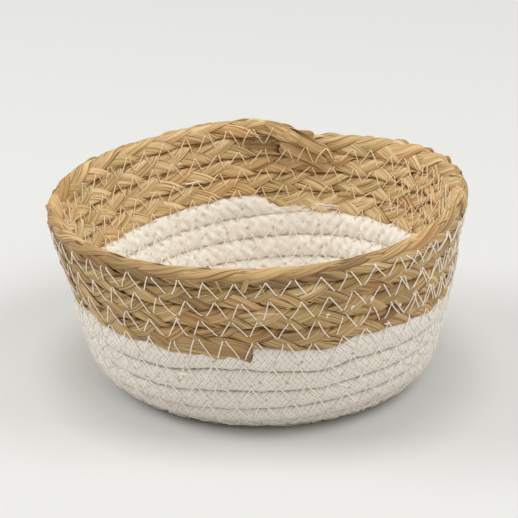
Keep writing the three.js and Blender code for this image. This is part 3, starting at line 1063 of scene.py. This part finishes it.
def surface_out(trees, reach, angle, side):
    """How far out the outermost surface lies at spots of the wall, on one side of its middle."""
    start = place(reach, angle, np.full_like(reach, side * RAY_FROM)) * MM
    end = place(reach, angle, np.zeros_like(reach)) * MM
    result = np.zeros_like(reach)
    for index in np.ndindex(reach.shape):
        origin = Vector(start[index])
        way = Vector(end[index]) - origin
        reach_left = way.length
        for tree in trees:
            hit = tree.ray_cast(origin, way.normalized(), reach_left)
            if hit[0] is not None:
                reach_left = hit[3]
        result[index] = RAY_FROM * (1 - reach_left / way.length)
    return np.maximum(result, SURFACE_LEAST)


def taut(surface):
    """The tight line over a row of surface heights."""
    steps = surface.shape[1]
    share = np.linspace(0, 1, steps)
    result = surface.copy()
    for first in range(steps):
        for last in range(first + 1, steps):
            span = slice(first, last + 1)
            part = (share[span] - share[first]) / (share[last] - share[first])
            line = surface[:, first, None] * (1 - part) + surface[:, last, None] * part
            result[:, span] = np.maximum(result[:, span], line)
    return result


def stitch_legs(name, node, sewing, side, sink, material):
    """Threads from hole to hole on one face in each run of holes, pulled tight over what they cross."""
    runs, seed, trees = sewing
    dice = np.random.default_rng(seed)
    share = np.linspace(0, 1, LEG_POINTS)
    bow = np.sin(math.pi * share)
    made = []
    for angle, reach in runs:
        uphill = np.arange(len(angle)) % 2
        around = np.maximum(reach * LEG_RADIUS_SHARE, LEG_RADIUS_LEAST)
        apart = dice.normal(np.where(uphill, *LEG_APART), LEG_SCATTER) / around
        leg_angle = (angle + apart)[:-1, None] * (1 - share) + (angle - apart)[1:, None] * share
        leg_reach = reach[:-1, None] * (1 - share) + reach[1:, None] * share
        leg_angle = leg_angle + dice.normal(0, LEG_BOW, (len(leg_angle), 1)) * bow / around[:-1, None]
        surface = surface_out(trees, leg_reach, leg_angle, side)
        height = taut(surface) + THREAD_RADIUS - sink
        if side < 0:
            below_seam = seam_reach(leg_angle) - leg_reach
            in_cotton = (leg_angle > 0) & (leg_angle < TURN)
            height = height - COTTON_SINK * np.where(in_cotton, ease(below_seam, *COTTON_SINK_BELOW_SEAM), 0)
        height[:, 0] = surface[:, 0] - LEG_END_DEPTH
        height[:, -1] = surface[:, -1] - LEG_END_DEPTH
        line = place(leg_reach, leg_angle, side * height)
        line[..., 2] = np.maximum(line[..., 2], THREAD_RADIUS)
        made.append((line, place(leg_reach, leg_angle, side * (height + 1)) - line))
    lines = np.concatenate([line for line, _ in made])
    outward = np.concatenate([way for _, way in made])
    return add_threads(name, lines, outward, THREAD_RADIUS, material, [node])


# Loose threads and fibres: bearing, reach and distance out of both ends of each thread, and its radius
THREAD_ENDS = (
    ((184.2, 138.2, 4.9), (178.2, 137.3, 4.9), 0.2),
    ((208.6, 106.4, 5.0), (204.6, 105.6, 5.0), 0.42),
    ((331.2, 135.0, -4.6), (336.6, 134.6, -4.7), 0.32),
    ((146.0, 120.4, 5.0), (144.2, 120.0, 5.0), 0.4),
    ((101.0, 129.0, 4.5), (98.8, 127.0, 6.4), 0.12))
THREAD_END_SWAY = 0.08
LOOSE_POINTS = 9
LOOSE_LOWEST = 0.1
LOOSE_TIP = 0.6

# Tufts: bearing, reach and distance out of each. Roots and tips scatter by bearing and reach.
TUFTS = (
    (165.0, 134.7, 4.8), (157.8, 135.1, 4.8), (152.0, 136.3, 4.8), (141.0, 128.3, 4.8), (118.0, 141.0, 4.8),
    (330.0, 147.0, -4.6), (206.0, 134.0, 4.8))
TUFT_FIBRES = 14
TUFT_RADIUS = 0.14
TUFT_RISE = 0.25
TUFT_ROOTS = (0.2, 0.3)
TUFT_TIPS = (0.35, 0.6)
TUFT_SWAY = 0.4

# Fuzz of the rope and its frayed end, as ranges of reach, bearing, distance out and radius
FUZZ_FIBRES = 1500
FUZZ_REACH = (66, 113)
FUZZ_FACES = (4.3, 4.3, 4.3, -4.3)
FUZZ_RISE = (0.5, 1.6)
FUZZ_TIPS = (1.3, 1.6)
FUZZ_RADIUS = (0.04, 0.07)
FUZZ_SWAY = 0.5
FRAY_FIBRES = 16
FRAY_REACH = (112.6, 116.4)
FRAY_START = (14, 17)
FRAY_END = (20, 25)
FRAY_RISE = (0.4, 1.4)
FRAY_FACE = -4.2
FRAY_OUT = (-5.2, -4.0)
FRAY_RADIUS = (0.1, 0.22)
FRAY_SWAY = 0.7


def loose_line(dice, start, end, sway):
    """A wavering line between two spots, each a bearing, reach and distance out, and the way off the face."""
    share = np.linspace(0, 1, LOOSE_POINTS)
    bow = np.sin(math.pi * share)
    bearing, reach, out = (np.interp(share, [0, 1], both) for both in zip(start, end))
    angle = np.radians(bearing + dice.normal(0, 0.5 * sway) * bow)
    reach = reach + dice.normal(0, sway) * bow
    out = out + abs(dice.normal(0, 0.6 * sway)) * bow
    line = place(reach, angle, out)
    return line, place(reach, angle, out + 1) - line


def add_loose(name, lines, radius):
    points = np.stack([line for line, _ in lines])
    points[..., 2] = np.maximum(points[..., 2], LOOSE_LOWEST)
    outward = np.stack([way for _, way in lines])
    thin = np.asarray(radius)[:, None] * np.linspace(1, LOOSE_TIP, LOOSE_POINTS)
    return add_threads(name, points, outward, thin, NEEDLE_THREAD, [])


def thread_ends():
    """Cut thread ends and small tufts where the needle pulled fibres out."""
    dice = np.random.default_rng(61)
    lines = [loose_line(dice, start, end, THREAD_END_SWAY) for start, end, _ in THREAD_ENDS]
    radius = [thick for _, _, thick in THREAD_ENDS]
    for bearing, reach, face in TUFTS:
        tip = face + math.copysign(TUFT_RISE, face)
        for _ in range(TUFT_FIBRES):
            start = (bearing + dice.normal(0, TUFT_ROOTS[0]), reach + dice.normal(0, TUFT_ROOTS[1]), face)
            end = (bearing + dice.normal(0, TUFT_TIPS[0]), reach + dice.normal(0, TUFT_TIPS[1]), tip)
            lines.append(loose_line(dice, start, end, TUFT_SWAY))
            radius.append(TUFT_RADIUS)
    return add_loose("thread_ends", lines, radius)


def cotton_fuzz():
    """Fine fibres that stand off the cotton rope, and the frayed end of the rope under the reed."""
    dice = np.random.default_rng(62)
    lines = []
    radius = []
    for _ in range(FUZZ_FIBRES):
        bearing = dice.uniform(0, 360)
        reach = dice.uniform(*FUZZ_REACH)
        face = dice.choice(FUZZ_FACES)
        end_bearing = bearing + dice.normal(0, FUZZ_TIPS[0])
        end_reach = reach + dice.normal(0, FUZZ_TIPS[1])
        tip = face + math.copysign(dice.uniform(*FUZZ_RISE), face)
        lines.append(loose_line(dice, (bearing, reach, face), (end_bearing, end_reach, tip), FUZZ_SWAY))
        radius.append(dice.uniform(*FUZZ_RADIUS))
    for _ in range(FRAY_FIBRES):
        reach = dice.uniform(*FRAY_REACH)
        start = (dice.uniform(*FRAY_START), reach, FRAY_FACE)
        end = (dice.uniform(*FRAY_END), reach + dice.normal(*FRAY_RISE), dice.uniform(*FRAY_OUT))
        lines.append(loose_line(dice, start, end, FRAY_SWAY))
        radius.append(dice.uniform(*FRAY_RADIUS))
    return add_loose("cotton_fuzz", lines, radius)


# Whole basket

cotton_pieces = cotton_rope()
reed_pieces = reed_plait()
reed_core()
splice = laid_leaves("spliced_leaves", SPLICED_LEAVES, 91)
tail = laid_leaves("tail_leaves", TAIL_LEAVES, 92)
laid_leaves("leaf_scraps", SCRAPS, 93)
sewn_on_reed = [*reed_pieces, splice, tail, cotton_pieces[-1], cotton_pieces[-2]]
cotton_sewing = ([COTTON_HOLES], 21, surfaces(cotton_pieces))
reed_sewing = ([REED_HOLES, *RESEWN_HOLES], 19, surfaces(sewn_on_reed))
stitch_legs("outer_cotton_stitches", "needle_thread_cotton", cotton_sewing, 1, -0.08, NEEDLE_THREAD)
stitch_legs("inner_cotton_stitches", "bobbin_thread_cotton", cotton_sewing, -1, 0.5, NEEDLE_THREAD)
stitch_legs("outer_reed_stitches", "needle_thread_reed", reed_sewing, 1, 0.05, NEEDLE_THREAD)
stitch_legs("inner_reed_stitches", "bobbin_thread_reed", reed_sewing, -1, 0.2, BOBBIN_THREAD_WITH_PAINTED_SHADE)
thread_ends()
cotton_fuzz()


# Floor, light and camera. Lamps give their place in metres, width and power.
FLOOR_HALF = 6.0
FLOOR_COLOUR = linear(212, 212, 211)
WORLD_COLOUR = (1, 0.955, 0.885, 1)
WORLD_STRENGTH = 0.475
LAMP_COLOUR = (0.97, 0.99, 1.0)
LAMPS = (
    ("overhead", (-0.1, 0.1, 2.3), 0.8, 15.3),
    ("left", (-1.8, 0.1, 1.5), 1.2, 23.5),
    ("right", (1.5, -0.2, 1.9), 1.2, 19.5),
    ("front", (0.6, -1.5, 1.7), 1.2, 7.0))
FRAME_PIXELS = 518
FOCAL_PIXELS = 2400
SENSOR_WIDTH = 36
CAMERA_DISTANCE = 1.1467
CAMERA_RISE = math.radians(23.1)
AIM_HEIGHT = 0.044
AIM_PIXEL = (260.7, 279.7)


def add_floor():
    material, tree = new_material("pale floor")
    tree.dress({"Base Color": FLOOR_COLOUR, "Roughness": 0.8, "Specular IOR Level": 0.2})
    corners = [(x * FLOOR_HALF, y * FLOOR_HALF, 0) for x, y in ((-1, -1), (1, -1), (1, 1), (-1, 1))]
    mesh = bpy.data.meshes.new("floor")
    mesh.from_pydata(corners, [], [(0, 1, 2, 3)])
    mesh.materials.append(material)
    floor = add_object("floor", mesh)


def add_lights():
    world = bpy.data.worlds.new("studio")
    world.use_nodes = True
    background = world.node_tree.nodes["Background"]
    background.inputs["Color"].default_value = WORLD_COLOUR
    background.inputs["Strength"].default_value = WORLD_STRENGTH
    bpy.context.scene.world = world
    for name, spot, width, power in LAMPS:
        lamp = bpy.data.lights.new(name, "AREA")
        lamp.size = width
        lamp.energy = power
        lamp.color = LAMP_COLOUR
        holder = add_object(name, lamp)
        holder.location = spot
        holder.rotation_euler = (-Vector(spot)).to_track_quat("-Z", "Y").to_euler()


def add_camera():
    data = bpy.data.cameras.new("camera")
    data.sensor_width = SENSOR_WIDTH
    data.lens = SENSOR_WIDTH * FOCAL_PIXELS / FRAME_PIXELS
    data.shift_x = (FRAME_PIXELS / 2 - AIM_PIXEL[0]) / FRAME_PIXELS
    data.shift_y = (AIM_PIXEL[1] - FRAME_PIXELS / 2) / FRAME_PIXELS
    holder = add_object("camera", data)
    back = Vector((0, -math.cos(CAMERA_RISE), math.sin(CAMERA_RISE)))
    holder.location = Vector((0, 0, AIM_HEIGHT)) + CAMERA_DISTANCE * back
    holder.rotation_euler = (-back).to_track_quat("-Z", "Y").to_euler()
    bpy.context.scene.camera = holder


add_floor()
add_lights()
add_camera()
bpy.context.scene.view_settings.view_transform = "Standard"
